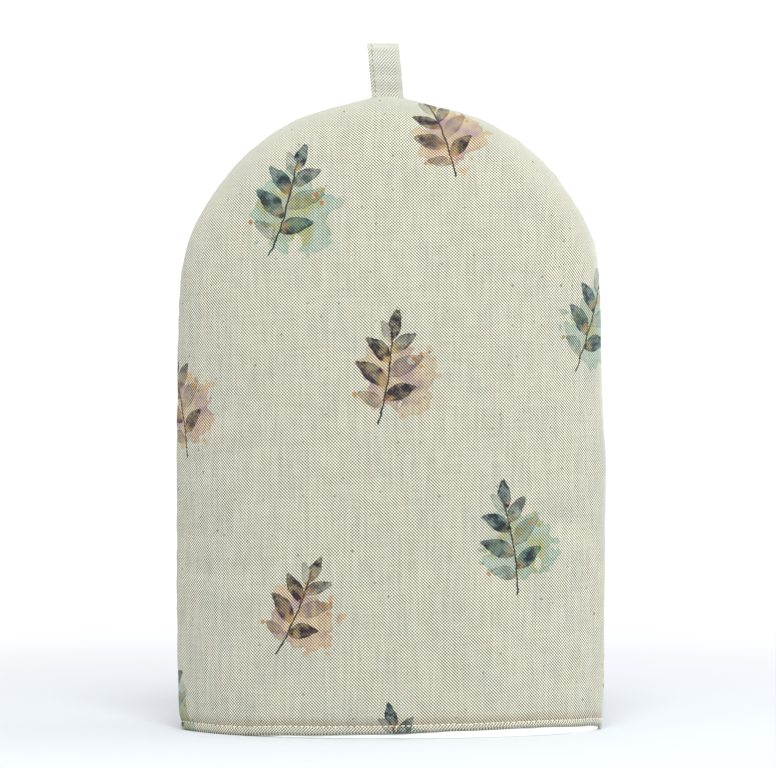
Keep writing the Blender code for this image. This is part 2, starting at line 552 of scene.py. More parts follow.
class Sketch:
    """Short calls that make and join shader nodes in one tree."""

    def __init__(self, tree: bpy.types.NodeTree) -> None:
        """Keeps the tree that the calls add to."""
        self.tree = tree

    def node(self, kind: str, /, settings: dict[str, Any] | None = None, **inputs: Any) -> bpy.types.Node:
        """Adds a node.

        Args:
            kind: The node's type, without its leading ShaderNode.
            settings: Properties of the node itself.
            **inputs: Sockets by name, with _ for a space, or by number as in n0. Each takes a value, or a
                socket to join.

        Returns:
            The new node.
        """
        made = self.tree.nodes.new("ShaderNode" + kind)
        for name, value in (settings or {}).items():
            setattr(made, name, value)
        return self._fill(made, inputs)

    def _fill(self, made: bpy.types.Node, inputs: dict[str, Any]) -> bpy.types.Node:
        """Sets a node's sockets to values, or joins other sockets to them.

        Args:
            made: The node.
            inputs: Values or sockets, by the name or number of the node's own socket.

        Returns:
            The same node.
        """
        for name, value in inputs.items():
            known = name[0] == "n" and name[1:].isdigit()
            socket = made.inputs[int(name[1:])] if known else made.inputs[name.replace("_", " ")]
            if isinstance(value, Socket):
                self.tree.links.new(value, socket)
            elif isinstance(value, tuple) and len(value) == 3 and socket.type == "RGBA":
                socket.default_value = (*value, 1.0)
            else:
                socket.default_value = value
        return made

    def math(self, operation: str, *values: Any, clamp: bool = False) -> Socket:
        """Output of a Math node that works on values or sockets."""
        sockets = {f"n{i}": value for i, value in enumerate(values)}
        return self.node("Math", {"operation": operation, "use_clamp": clamp}, **sockets).outputs[0]

    def times(self, first: Any, second: Any) -> Socket:
        """First times second."""
        return self.math("MULTIPLY", first, second)

    def minus(self, first: Any, second: Any) -> Socket:
        """First minus second."""
        return self.math("SUBTRACT", first, second)

    def times_plus(self, first: Any, second: Any, third: Any, clamp: bool = False) -> Socket:
        """First times second, plus third."""
        return self.math("MULTIPLY_ADD", first, second, third, clamp=clamp)

    def vector(self, operation: str, *values: Any) -> Socket:
        """Output of a Vector Math node that works on values or sockets."""
        sockets = {f"n{i}": value for i, value in enumerate(values)}
        return self.node("VectorMath", {"operation": operation}, **sockets).outputs[0]

    def length(self, vector: Any) -> Socket:
        """Length of a vector."""
        return self.node("VectorMath", {"operation": "LENGTH"}, n0=vector).outputs["Value"]

    def mix(self, share: Any, first: Any, second: Any, blend: str = "MIX") -> Socket:
        """Colour between first and second, or their blend of the named kind."""
        settings = {"data_type": "RGBA", "blend_type": blend}
        return self.node("Mix", settings, n0=share, n6=first, n7=second).outputs[2]

    def between(self, share: Any, first: Any, second: Any) -> Socket:
        """Number between first and second."""
        return self.node("Mix", n0=share, n2=first, n3=second).outputs[0]

    def step(self, value: Any, low: Any, high: Any) -> Socket:
        """Eases from 0 where value is low to 1 where it is high."""
        settings = {"interpolation_type": "SMOOTHSTEP"}
        return self.node("MapRange", settings, Value=value, From_Min=low, From_Max=high).outputs[0]

    def noise(self, place: Any, size: float, detail: float = 2.0, stretch: Colour = (1, 1, 1)) -> Socket:
        """Noise with humps about size metres across, finer along an axis that is stretched."""
        scaled = self.vector("MULTIPLY", place, stretch)
        made = self.node("TexNoise", Vector=scaled, Scale=1.0 / size, Detail=detail, Roughness=0.55)
        return made.outputs[0]

    def scale(self, vector: Any, size: Any) -> Socket:
        """A vector, size times as long."""
        return self.node("VectorMath", {"operation": "SCALE"}, n0=vector, Scale=size).outputs[0]

    def parts(self, place: Any) -> list[Socket]:
        """The X, Y and Z of a vector."""
        return list(self.node("SeparateXYZ", Vector=place).outputs)

    def join(self, x: Any, y: Any, z: Any = 0.0) -> Socket:
        """A vector from its X, Y and Z."""
        return self.node("CombineXYZ", X=x, Y=y, Z=z).outputs[0]

    def fact(self, name: str) -> Socket:
        """A vector kept at each point of the mesh."""
        return self.node("Attribute", {"attribute_name": name}).outputs["Vector"]

    def bump(self, height: Any, strength: float, distance: float) -> Socket:
        """Normal of a surface that follows a height."""
        return self.node("Bump", Strength=strength, Distance=distance, Height=height).outputs[0]

    def surface(self, **inputs: Any) -> None:
        """Sets the surface shader's own sockets, named with _ for a space."""
        self._fill(self.tree.nodes["Principled BSDF"], inputs)

    def group(self, group: bpy.types.NodeTree, **inputs: Any) -> dict[str, Socket]:
        """Places a node group and returns its outputs by name."""
        made = self.node("Group", {"node_tree": group}, **inputs)
        return {socket.name: socket for socket in made.outputs}


class GroupSketch(Sketch):
    """A sketch of a new shader node group."""

    def __init__(
        self, name: str, usual: dict[str, float], outputs: Sequence[str], kind: str = "Float"
    ) -> None:
        """Makes the group, with a place on the cloth as its first input.

        Args:
            name: The group's name.
            usual: Usual value of each other input.
            outputs: Names of its outputs.
            kind: Kind of its outputs.
        """
        super().__init__(bpy.data.node_groups.new(name, "ShaderNodeTree"))
        sockets = self.tree.interface
        sockets.new_socket("Place", in_out="INPUT", socket_type="NodeSocketVector")
        for label, value in usual.items():
            sockets.new_socket(label, in_out="INPUT", socket_type="NodeSocketFloat").default_value = value
        for label in outputs:
            sockets.new_socket(label, in_out="OUTPUT", socket_type="NodeSocket" + kind)
        self.given = {socket.name: socket for socket in self.tree.nodes.new("NodeGroupInput").outputs}
        self._leave = self.tree.nodes.new("NodeGroupOutput")

    def give(self, **outputs: Socket) -> None:
        """Joins values to the group's outputs, named with _ for a space."""
        for name, value in outputs.items():
            self.tree.links.new(value, self._leave.inputs[name.replace("_", " ")])


class YarnGroup(GroupSketch):
    """Two-tone plain weave: light and dark yarns that cross in a staggered checker."""

    def __init__(self) -> None:
        """Builds the group."""
        usual = {"Repeat": 0.00165, "Slant": 0.3, "Wander": 0.00022}
        super().__init__("Woven yarns", usual, ("Light yarn", "Height", "Yarn tone"))
        place = self.given["Place"]
        shaky = self.node("TexNoise", Vector=place, Scale=70.0, Detail=1.5).outputs[1]
        shift = self.scale(self.vector("SUBTRACT", shaky, (0.5, 0.5, 0.5)), self.given["Wander"])
        moved = self.vector("ADD", place, shift)
        u, v, _ = self.parts(moved)
        patch = self.step(self.noise(place, 0.009, 1.0), 0.36, 0.60)
        slant = self.times(self.given["Slant"], self.between(patch, 0.15, 1.60))
        turns = self.math("DIVIDE", 2 * math.pi, self.given["Repeat"])
        a, b = self.times(u, turns), self.times(v, turns)
        rising = self.math("COSINE", self.minus(a, b))
        falling = self.math("COSINE", self.math("ADD", a, b))
        rising = self.times(rising, self.minus(1.0, slant))
        falling = self.times(falling, self.math("ADD", 1.0, slant))
        wave = self.times(self.minus(rising, falling), 0.5)
        bump = self.math("ABSOLUTE", self.times(self.math("SINE", a), self.math("SINE", b)))
        warp = self.noise(moved, 0.0018, 1.0, (1.0, 0.07, 1.0))
        weft = self.noise(moved, 0.0018, 1.0, (0.09, 1.0, 1.0))
        self.give(
            Light_yarn=self.step(wave, -0.44, 0.22),
            Height=self.math("POWER", bump, 0.6),
            Yarn_tone=self.times_plus(weft, 0.5, warp),
        )


class MottleGroup(GroupSketch):
    """Slow soft changes of tone over a cloth, and its small flecks."""

    def __init__(self) -> None:
        """Builds the group."""
        super().__init__("Soft mottling", {"Size": 0.03}, ("Tone", "Fleck"))
        scaled = self.scale(self.given["Place"], self.math("DIVIDE", 1.0, self.given["Size"]))
        tone = self.node("TexNoise", Vector=scaled, Scale=1.0, Detail=3.0).outputs[0]
        dots = self.node("TexNoise", Vector=self.given["Place"], Scale=420.0, Detail=0.0).outputs[0]
        self.give(Tone=tone, Fleck=self.step(dots, 0.80, 0.85))


class LeafGroup(GroupSketch):
    """One painted leaf, added to those before it."""

    def __init__(self) -> None:
        """Builds the group."""
        leaf = ("Foot X", "Foot Z", "Turn", "Length", "Width", "Strength")
        so_far = ("Inside so far", "Tone so far", "Power so far")
        super().__init__("Leaf", dict.fromkeys(leaf + so_far, 0.0), ("Inside", "Tone", "Power"))
        given = self.given
        x, z, _ = self.parts(given["Place"])
        dx, dz = self.minus(x, given["Foot X"]), self.minus(z, given["Foot Z"])
        sine, cosine = self.math("SINE", given["Turn"]), self.math("COSINE", given["Turn"])
        along = self.times_plus(dx, sine, self.times(dz, cosine))
        across = self.minus(self.times(dx, cosine), self.times(dz, sine))
        share = self.math("DIVIDE", along, given["Length"], clamp=True)
        bow = self.times(self.times(share, self.minus(1.0, share)), sine)
        across = self.math("ABSOLUTE", self.times_plus(bow, 0.10, across))
        swell = self.math("SINE", self.times(self.math("POWER", share, 0.8), math.pi))
        inside = self.minus(self.times(swell, self.times(given["Width"], 0.5)), across)
        vein = self.minus(1.0, self.step(across, 0.002, 0.007))
        inside = self.times_plus(vein, -0.012, inside)
        newer = self.math("GREATER_THAN", inside, given["Inside so far"])
        self.give(
            Inside=self.math("MAXIMUM", inside, given["Inside so far"]),
            Tone=self.between(newer, given["Tone so far"], share),
            Power=self.between(newer, given["Power so far"], given["Strength"]),
        )


class PrintGroup(GroupSketch):
    """Scattered watercolour leaf sprigs: how much of the cloth's colour each lets through."""

    def __init__(self, leaf: LeafGroup) -> None:
        """Builds the group.

        Args:
            leaf: The group that paints one leaf.
        """
        super().__init__("Leaf print", {}, ("Tint",), "Color")
        cloth = self.given["Place"]
        local, warmth = self._nearest_sprig(self._one_repeat(cloth))
        wobble = self.node("TexNoise", Vector=cloth, Scale=190.0, Detail=2.0).outputs[1]
        wobble = self.vector("SUBTRACT", wobble, (0.5, 0.5, 0.5))
        local = self.vector("ADD", local, self.vector("MULTIPLY", wobble, (0.035, 0.035, 0.0)))
        self.give(Tint=self._paint(leaf, cloth, local, warmth))

    def _one_repeat(self, place: Any) -> Socket:
        """Folds the cloth's place into one repeat of the print."""
        u, v, _ = self.parts(place)
        u = self.math("WRAP", u, REPEAT_WIDTH / 2, -REPEAT_WIDTH / 2)
        return self.join(u, self.math("WRAP", v, REPEAT_HEIGHT - 0.05, -0.05))

    def _nearest_sprig(self, place: Any) -> tuple[Any, Any]:
        """Finds the sprig that a place belongs to.

        Args:
            place: Place inside one repeat of the print.

        Returns:
            The place inside that sprig, in shares of its height, and how warm its pigments are.
        """
        local: Any = (9.0, 9.0, 0.0)
        warmth: Any = 0.0
        for row in SPRIG_ROWS:
            turned = self.node(
                "Mapping", {"vector_type": "TEXTURE"}, Vector=place, Location=(row.u, row.v, 0.0),
                Rotation=(0.0, 0.0, math.radians(-row.turn_deg)), Scale=(row.height,) * 3,
            ).outputs[0]
            reach = self.length(self.vector("SUBTRACT", turned, (0.0, 0.48, 0.0)))
            inside = self.math("LESS_THAN", reach, 0.80)
            local = self.node("Mix", {"data_type": "VECTOR"}, n0=inside, n4=local, n5=turned).outputs[1]
            warmth = self.between(inside, warmth, row.warmth)
        return local, warmth

    def _blend(self, share: Any, low: float, high: float, first: Any, second: Any) -> Socket:
        """Colour that changes from first to second as a share goes from low to high."""
        first, second = (c.value if isinstance(c, Pigment) else c for c in (first, second))
        return self.mix(self.step(share, low, high), first, second)

    def _paint(self, leaf: LeafGroup, cloth: Any, local: Any, warmth: Any) -> Socket:
        """Tint of one sprig.

        Args:
            leaf: The group that paints one leaf.
            cloth: Place on the cloth.
            local: Place inside the sprig.
            warmth: How warm the sprig's pigments are.

        Returns:
            The share of light that its leaves, stem, buds and pale wash let through.
        """
        x, z, _ = self.parts(local)
        pool, grain = self.noise(cloth, 0.006, 3.0), self.noise(cloth, 0.0008, 1.0)
        bloom = self.noise(cloth, 0.014, 2.0)
        inside, tone, power = self._leaves(leaf, local)

        cool = self._blend(pool, 0.36, 0.62, Pigment.SLATE, Pigment.TEAL)
        warm = self._blend(pool, 0.38, 0.62, Pigment.PLUM, Pigment.OLIVE)
        pigment = self._blend(warmth, 0.40, 0.60, cool, warm)
        ochre = self._blend(bloom, 0.40, 0.60, Pigment.OCHRE, Pigment.RUST)
        gold = self.times(self.step(tone, 0.42, 0.0), self.step(pool, 0.40, 0.58))
        pigment = self.mix(gold, pigment, ochre)
        rim = self.minus(1.0, self.step(inside, 0.004, 0.016))
        load = self.times(power, self.between(self.step(pool, 0.34, 0.66), 1.0, 0.62))
        load = self.math("ADD", load, self.times(rim, 0.34))
        load = self.times_plus(self.minus(grain, 0.5), 0.5, load, clamp=True)
        leaf_share = self.times(self.step(inside, 0.0, 0.008), load)

        cool_wash = self._blend(bloom, 0.40, 0.60, Pigment.PALE_TEAL, Pigment.PALE_MOSS)
        warm_wash = self._blend(bloom, 0.40, 0.60, Pigment.PEACH, Pigment.MAUVE)
        wash_tint = self._blend(warmth, 0.40, 0.60, cool_wash, warm_wash)
        tint = self.mix(self._wash(local, pool, bloom), Pigment.CLEAR.value, wash_tint)
        tint = self.mix(self._stem(x, z), tint, Pigment.STEM.value)
        tint = self.mix(leaf_share, tint, pigment)
        return self.mix(self._buds(local), tint, ochre)

    def _leaves(self, leaf: LeafGroup, local: Any) -> tuple[Any, Any, Any]:
        """Paints the sprig's leaves over one another.

        Args:
            leaf: The group that paints one leaf.
            local: Place inside the sprig.

        Returns:
            How far inside a leaf the place is, how far along that leaf, and the leaf's strength.
        """
        inside: Any = -1.0
        tone: Any = 0.0
        power: Any = 0.0
        for row in SPRIG_LEAVES:
            made = self.group(
                leaf.tree, Place=local, Foot_X=0.16 * (row.foot - row.foot**2), Foot_Z=row.foot,
                Turn=math.radians(row.turn_deg), Length=row.length, Width=row.width, Strength=row.strength,
                Inside_so_far=inside, Tone_so_far=tone, Power_so_far=power,
            )
            inside, tone, power = made["Inside"], made["Tone"], made["Power"]
        return inside, tone, power

    def _stem(self, x: Any, z: Any) -> Socket:
        """Paints the sprig's bowed stem.

        Args:
            x: Sideways place inside the sprig.
            z: Height inside the sprig.

        Returns:
            The stem's share at that place.
        """
        course = self.times(self.minus(z, self.times(z, z)), 0.16)
        stem = self.minus(1.0, self.step(self.math("ABSOLUTE", self.minus(x, course)), 0.005, 0.011))
        stem = self.times(stem, self.step(z, -0.06, -0.04))
        return self.times(stem, self.step(z, 0.84, 0.80))

    def _buds(self, local: Any) -> Socket:
        """Paints the sprig's round buds.

        Args:
            local: Place inside the sprig.

        Returns:
            Their share at that place.
        """
        bud: Any = 0.0
        for row in SPRIG_BUDS:
            away = self.length(self.vector("SUBTRACT", local, (row.x, row.z, 0.0)))
            bud = self.math("MAXIMUM", bud, self.step(away, row.size, row.size * 0.75))
        return self.times(bud, 0.85)

    def _wash(self, local: Any, pool: Any, bloom: Any) -> Socket:
        """Paints the pale wash behind the sprig, with its darker dried edge.

        Args:
            local: Place inside the sprig.
            pool: Noise that the pigment pools by.
            bloom: Broader noise.

        Returns:
            The wash's share at that place.
        """
        spread = self.vector("SUBTRACT", local, (0.10, 0.36, 0.0))
        away = self.length(self.vector("MULTIPLY", spread, (1.0, 1.15, 0.0)))
        away = self.times_plus(self.minus(bloom, 0.5), 0.75, away)
        away = self.times_plus(self.minus(pool, 0.5), 0.25, away)
        wash = self.step(away, 0.345, 0.315)
        edge = self.times(wash, self.step(away, 0.270, 0.330))
        wash = self.times(wash, self.between(self.step(bloom, 0.35, 0.65), 0.36, 0.88))
        return self.times_plus(edge, 0.20, wash, clamp=True)


# ---------------------------------------------------------------- finishes


def new_finish(name: str) -> tuple[bpy.types.Material, Sketch]:
    """Makes a material and a sketch of its nodes."""
    material = bpy.data.materials.new(name)
    material.use_nodes = True
    return material, Sketch(material.node_tree)


@dataclass(frozen=True)
class Canvas:
    """Natural two-tone canvas, with or without the leaf print."""

    name: str
    yarns: YarnGroup
    mottle: MottleGroup
    leaves: PrintGroup | None = None
    light: Colour = (0.978, 0.980, 0.845)
    dark: Colour = (0.098, 0.093, 0.048)
    # Colour of the painted shadow at the hem.
    painted_hem_shadow: Colour = (0.84, 0.77, 0.73)
    # Colour of the painted shade in the weave's grooves.
    painted_groove_shade: Colour = (0.10, 0.10, 0.07)
    # Paler colour for a band beside the seam, and painted light over the top and on the right.
    pale_seam_and_painted_light: Colour = (0.74, 0.77, 0.71)
    warm_hue: Colour = (1.026, 0.998, 0.960)
    cool_hue: Colour = (0.962, 0.964, 0.940)
    slant: float = 0.26
    softness: float = 0.0
    roughness: float = 0.88
    sheen: float = 0.12

    def make(self) -> bpy.types.Material:
        """Builds the material.

        Returns:
            The new material.
        """
        material, sketch = new_finish(self.name)
        place = sketch.fact("cloth_place")
        seam, above, smooth = sketch.parts(sketch.fact("cloth_edges"))
        hem = sketch.step(above, 0.0002, -0.0002)
        slant = sketch.between(hem, self.slant, -0.6 * self.slant)
        woven = sketch.group(self.yarns.tree, Place=place, Slant=slant)
        mottle = sketch.group(self.mottle.tree, Place=place, Size=0.034)

        tone = sketch.times_plus(sketch.minus(woven["Yarn tone"], 0.75), 0.28, woven["Light yarn"])
        flat = sketch.times_plus(sketch.step(mottle["Tone"], 0.30, 0.75), 0.12, self.softness)
        flat = sketch.times_plus(smooth, 0.85, flat, clamp=True)
        tone = sketch.between(flat, tone, 0.56)
        tone = sketch.times_plus(mottle["Fleck"], -0.5, tone, clamp=True)
        colour = sketch.mix(tone, self.dark, self.light)
        # Painted shade in the weave: the grooves between yarns, where the weave's height is low, are
        # darkened towards the groove colour, with fine fibre texture mixed in.
        groove = sketch.times(sketch.minus(1.0, woven["Height"]), 0.30)
        fibre = sketch.noise(place, 0.00016, 1.0, (1.0, 0.5, 1.0))
        groove = sketch.times_plus(sketch.minus(fibre, 0.5), 0.5, groove, clamp=True)
        colour = sketch.mix(groove, colour, self.painted_groove_shade, "MULTIPLY")
        # Painted shade: a pinkish shadow line just above the hem's topstitching, and the hem strip below the
        # stitches darkened as if in shade.
        painted_hem_shade = sketch.times(sketch.step(above, 0.0062, 0.0010), sketch.step(above, -0.0004, 0.0006))
        painted_hem_shade = sketch.times_plus(hem, 0.35, sketch.times(painted_hem_shade, 0.95), clamp=True)
        colour = sketch.mix(painted_hem_shade, colour, self.painted_hem_shadow, "MULTIPLY")
        # Lighter along the seam, over the top and on the right: beside the seam a paler band; over the top,
        # and most of all on the right where the smoothing share goes past 0.85, painted light falling from
        # the upper right.
        pale_seam_and_painted_light = sketch.times_plus(sketch.step(seam, 0.007, 0.001), 0.18, sketch.times(smooth, 0.12))
        pale_seam_and_painted_light = sketch.times_plus(sketch.step(smooth, 0.85, 1.40), 0.34, pale_seam_and_painted_light, clamp=True)
        colour = sketch.mix(pale_seam_and_painted_light, colour, self.pale_seam_and_painted_light)
        patch = sketch.step(sketch.noise(place, 0.022), 0.40, 0.62)
        colour = sketch.mix(0.8, colour, sketch.mix(patch, self.warm_hue, self.cool_hue), "MULTIPLY")
        if self.leaves:
            tint = sketch.group(self.leaves.tree, Place=place)["Tint"]
            colour = sketch.mix(1.0, colour, tint, "MULTIPLY")
        sketch.surface(
            Base_Color=colour, Normal=sketch.bump(woven["Height"], 0.55, 0.00035), Roughness=self.roughness,
            Specular_IOR_Level=0.25, Sheen_Weight=self.sheen, Sheen_Roughness=0.6,
        )
        return material


@dataclass(frozen=True)
class Cotton:
    """Plain white cotton of the lining."""

    name: str
    yarns: YarnGroup
    mottle: MottleGroup
    light: Colour = (0.97, 0.99, 0.97)
    dark: Colour = (0.86, 0.89, 0.87)

    def make(self) -> bpy.types.Material:
        """Builds the material.

        Returns:
            The new material.
        """
        material, sketch = new_finish(self.name)
        place = sketch.fact("cloth_place")
        woven = sketch.group(self.yarns.tree, Place=place, Repeat=0.0009, Slant=0.0, Wander=0.0001)
        mottle = sketch.group(self.mottle.tree, Place=place, Size=0.02)
        tone = sketch.times_plus(sketch.minus(mottle["Tone"], 0.5), 0.8, woven["Light yarn"], clamp=True)
        colour = sketch.mix(tone, self.dark, self.light)
        normal = sketch.bump(woven["Height"], 0.4, 0.0002)
        sketch.surface(Base_Color=colour, Normal=normal, Roughness=0.92, Sheen_Weight=0.15)
        return material


@dataclass(frozen=True)
class Thread:
    """Sewing thread, a little darker along its twist."""

    name: str
    light: Colour = (0.93, 0.92, 0.78)
    dark: Colour = (0.60, 0.58, 0.45)
    twist: float = 0.0006

    def make(self) -> bpy.types.Material:
        """Builds the material.

        Returns:
            The new material.
        """
        material, sketch = new_finish(self.name)
        u, v, _ = sketch.parts(sketch.fact("cloth_place"))
        twist = sketch.math("SINE", sketch.times(sketch.math("ADD", u, v), 2 * math.pi / self.twist))
        tone = sketch.times_plus(twist, 0.35, 0.6, clamp=True)
        colour = sketch.mix(tone, self.dark, self.light)
        sketch.surface(Base_Color=colour, Normal=sketch.bump(tone, 0.5, 0.0001), Roughness=0.7)
        return material


# ---------------------------------------------------------------- cloth pieces


@dataclass(frozen=True)
class Smoothed:
    """Where pulled cloth shows less of its weave: beside the seam, over the top and on the right. On the
    right the share goes past 1, and the canvas paints that excess as light falling on its right edge.
    """

    top_start: float = 0.22
    top_reach: float = 0.07
    right_reach: float = 0.05
    reach: float = 0.009
    reach_over_top: float = 0.008
    strength: float = 1.35
    low_left: float = 0.25
    low_right: float = 1.25
    top_right_less: float = 0.6

    def at(self, points: np.ndarray, seam: np.ndarray) -> np.ndarray:
        """Share by which the weave is smoothed.

        Args:
            points: The points to read at, n by 3.
            seam: Their distance from the seam.

        Returns:
            The share at each point.
        """
        high = ramp(points[:, 2], self.top_start, self.top_reach)
        right = ramp(points[:, 0], 0.0, self.right_reach)
        near = np.clip(self.strength - seam / (self.reach + self.reach_over_top * high), 0.0, 1.0)
        # Past 1 on the right: the canvas turns that excess into painted light.
        return near * np.maximum(high, self.low_left + (self.low_right - self.top_right_less * high) * right)


@dataclass
class ClothShell:
    """A closed shell of cloth that follows the dome, with a rounded hem."""

    name: str
    side: Side
    slot: Slot
    hem_rows: Sequence[HemRow]
    fold_rows: Sequence[FoldRow] = ()
    inset: float = 0.0
    thickness: float = 0.0060
    hem_inset: float = 0.0
    hem_thickness: float = 0.0025
    taper_height: float = 0.0150
    columns: int = 281
    edge_rows: int = 5
    hem_step: float = 0.00055
    hem_rows_height: float = 0.0130
    body_rows: int = 100
    edge_turn_deg: float = 84.0
    least_gap: float = 0.00004
    tape_gap: float = 0.00158
    calm_normal_reach: float = 0.0028
    cloth_shift: tuple[float, float] = (0.0, 0.0)
    fold_inside: float = 1.0
    seed: int = 3
    lines: dict[str, np.ndarray] = field(default_factory=dict)

    def hem(self, x: np.ndarray) -> np.ndarray:
        """Height of the hem's lower edge."""
        return ease_rows(self.hem_rows, x, "rise")

    def folds(self, x: np.ndarray, z: np.ndarray) -> np.ndarray:
        """How far the soft folds push the cloth out.

        Args:
            x: Sideways place.
            z: Height.

        Returns:
            The distance out at each place.
        """
        push = np.zeros_like(x)
        for fold in self.fold_rows:
            turn = math.radians(fold.angle_deg)
            dx, dz = x - fold.x, z - fold.height
            along = dx * math.cos(turn) + dz * math.sin(turn)
            across = dz * math.cos(turn) - dx * math.sin(turn)
            push += fold.rise * np.exp(-((along / fold.half_length) ** 2) - (across / fold.half_width) ** 2)
        return push

    def layer(self, outside: bool) -> tuple[np.ndarray, np.ndarray, np.ndarray]:
        """Lays one face of the shell on the dome.

        Args:
            outside: Whether it is the outer face.

        Returns:
            Its points, rows by columns by 3, each point's height above the hem, and its cloth place.
        """
        angle = np.linspace(-1.0, 1.0, self.columns)[None, :] * math.pi / 2
        turn = math.radians(self.edge_turn_deg)
        round_off = np.linspace(1.0, 0.0, self.edge_rows, endpoint=False)[:, None] * turn
        edge = self.hem_thickness / 2
        low = np.arange(edge, self.hem_rows_height, self.hem_step)[:, None]
        share = np.linspace(0.0, 1.0, self.body_rows + 1)[1:, None]

        def inset_at(height: np.ndarray) -> np.ndarray:
            """How far inside the outer cloth this face is.

            Args:
                height: Height above the hem.

            Returns:
                The distance at that height.
            """
            eased = ease(ramp(height, 0.0, self.taper_height))
            thick = self.hem_thickness + eased * (self.thickness - self.hem_thickness)
            start = self.hem_inset + eased * (self.inset - self.hem_inset)
            return start if outside else start + thick

        turned = (edge if outside else -edge) * (1 - np.cos(round_off))
        height = np.concatenate([edge * (1 - np.sin(round_off)), low]) + 0 * angle
        inset = np.concatenate([inset_at(edge + 0 * round_off) + turned, inset_at(low)]) + 0 * angle

        x = (DOME.radius - inset) * np.sin(angle)
        z = self.hem(x) + height
        top_inset = inset_at(np.array([[1.0]]))
        x_up = (DOME.radius - top_inset) * np.sin(angle)
        foot_up = self.hem(x_up) + self.hem_rows_height
        top = DOME.column_top(angle, top_inset)
        z_up = foot_up + np.sin(share * math.pi / 2) * (top - foot_up)
        inset_up = inset_at(z_up - self.hem(x_up))
        x_up = (DOME.radius - inset_up) * np.sin(angle)
        x, z = np.concatenate([x, x_up]), np.concatenate([z, z_up])
        inset = np.concatenate([inset, inset_up])
        height = np.concatenate([height, z_up - self.hem(x_up)])

        deep = DOME.depth(x, z, inset)
        deep[:, [0, -1]] = 0.0
        deep[-1, :] = 0.0
        free = deep / (deep + 2 * DOME.panel_thickness)
        deep = deep + self.folds(x, z) * free * (1.0 if outside else self.fold_inside)
        widened = DOME.radius / (DOME.radius - inset)
        place = DOME.cloth_place((x * widened).ravel(), z.ravel()).reshape(*x.shape, 3)
        place[: self.edge_rows, :, 1] = place[self.edge_rows, :, 1] - edge * round_off
        return self._place(x, z, deep, angle, height), height, place

    def _place(
        self, x: np.ndarray, z: np.ndarray, deep: np.ndarray, angle: np.ndarray, height: np.ndarray
    ) -> np.ndarray:
        """Adds the sides' bulge, the lift and room at the tape, and the drawn-in corners.

        Args:
            x: Sideways place.
            z: Height.
            deep: Distance from the seam's plane.
            angle: Each column's angle round the arch.
            height: Height above the hem. Not used.

        Returns:
            The points, rows by columns by 3.
        """
        over = np.maximum(z - DOME.spring, 0.0)
        reach = np.hypot(x, over)
        bulge = ease_rows(SEAM_ROWS, DOME.seam_place(x, z), "out") * (reach / DOME.radius) ** 3
        top = DOME.column_top(angle, 0.0)
        risen = np.clip(z / top, 0.0, 1.0)
        near = hump(x - DOME.loop_x, DOME.seam_lift_reach)
        lift = DOME.seam_lift * near * risen**DOME.seam_lift_fade
        deep = np.maximum(deep, self.least_gap + self.tape_gap * DOME.tape_room(x, z, top))
        sideways = x + x / np.maximum(reach, 1e-9) * bulge - np.sin(angle) * DOME.pull(angle, z)
        upward = z + lift + over / np.maximum(reach, 1e-9) * bulge
        return np.stack([sideways, self.side.value * deep, upward], axis=-1)

    def relief(self, points: np.ndarray, height: np.ndarray) -> np.ndarray:
        """How far the outer face stands out from the plain dome: none here."""
        return np.zeros_like(height)

    def build(self) -> bpy.types.Object:
        """Builds the shell and keeps the lines that thread follows.

        Returns:
            The new object.
        """
        outer, height, outer_place = self.layer(True)
        inner, inner_height, inner_place = self.layer(False)
        normals = self._calm_normals(outer, grid_normals(outer) * -self.side.value)
        outer = outer + normals * self.relief(outer, height)[..., None]
        outer[..., 1] = self.side.value * np.maximum(outer[..., 1] * self.side.value, self.least_gap)
        outer[..., 2] = np.maximum(outer[..., 2], self.least_gap)
        rows, columns = height.shape
        count = rows * columns
        number = np.arange(count).reshape(rows, columns)
        rim = np.concatenate([number[0, :], number[1:, -1], number[-1, -2::-1], number[-2:0:-1, 0]])
        after = np.roll(rim, -1)
        sides = np.stack([rim, after, after + count, rim + count], axis=-1)
        outer_faces, inner_faces = grid_faces(rows, columns)[:, ::-1], grid_faces(rows, columns, start=count)
        faces = np.concatenate([outer_faces, inner_faces, sides])
        points = np.concatenate([outer.reshape(-1, 3), inner.reshape(-1, 3)])
        place = np.concatenate([outer_place.reshape(-1, 3), inner_place.reshape(-1, 3)])
        place[:, :2] += self.cloth_shift
        seam = DOME.seam_distance(points)
        above = np.concatenate([height.ravel(), inner_height.ravel()]) - self.stitch_height(points[:, 0])
        edges = np.stack([seam, above, Smoothed().at(points, seam)], axis=-1)
        self.lines = self.stitch_line(outer, normals, height)
        return new_piece(self.name, points, faces, {"cloth_place": place, "cloth_edges": edges})

    def _calm_normals(self, points: np.ndarray, normals: np.ndarray) -> np.ndarray:
        """Turns the normals beside the seam straight out from the cosy's middle.

        Args:
            points: The face's points.
            normals: Its normals.

        Returns:
            The turned normals.
        """
        out = points * (1.0, 0.0, 1.0) - (0.0, 0.0, DOME.spring)
        out[..., 2] = np.maximum(out[..., 2], 0.0)
        share = hump(DOME.seam_distance(points), self.calm_normal_reach)[..., None]
        return unit(normals * (1 - share) + unit(out) * share)

    def stitch_height(self, x: np.ndarray) -> np.ndarray:
        """Height of the topstitching above the hem."""
        return ease_rows(self.hem_rows, x, "stitch")

    def stitch_line(
        self, outer: np.ndarray, normals: np.ndarray, height: np.ndarray
    ) -> dict[str, np.ndarray]:
        """The topstitched line over the outer face.

        Args:
            outer: The outer face's points.
            normals: Its normals.
            height: Each point's height above the hem.

        Returns:
            The line's points and normals.
        """
        at = self.stitch_height(outer[0, :, 0])
        line, upright = np.zeros((len(at), 3)), np.zeros((len(at), 3))
        for column, want in enumerate(at):
            for axis in range(3):
                line[column, axis] = np.interp(want, height[:, column], outer[:, column, axis])
                upright[column, axis] = np.interp(want, height[:, column], normals[:, column, axis])
        return {"points": line, "normals": upright}


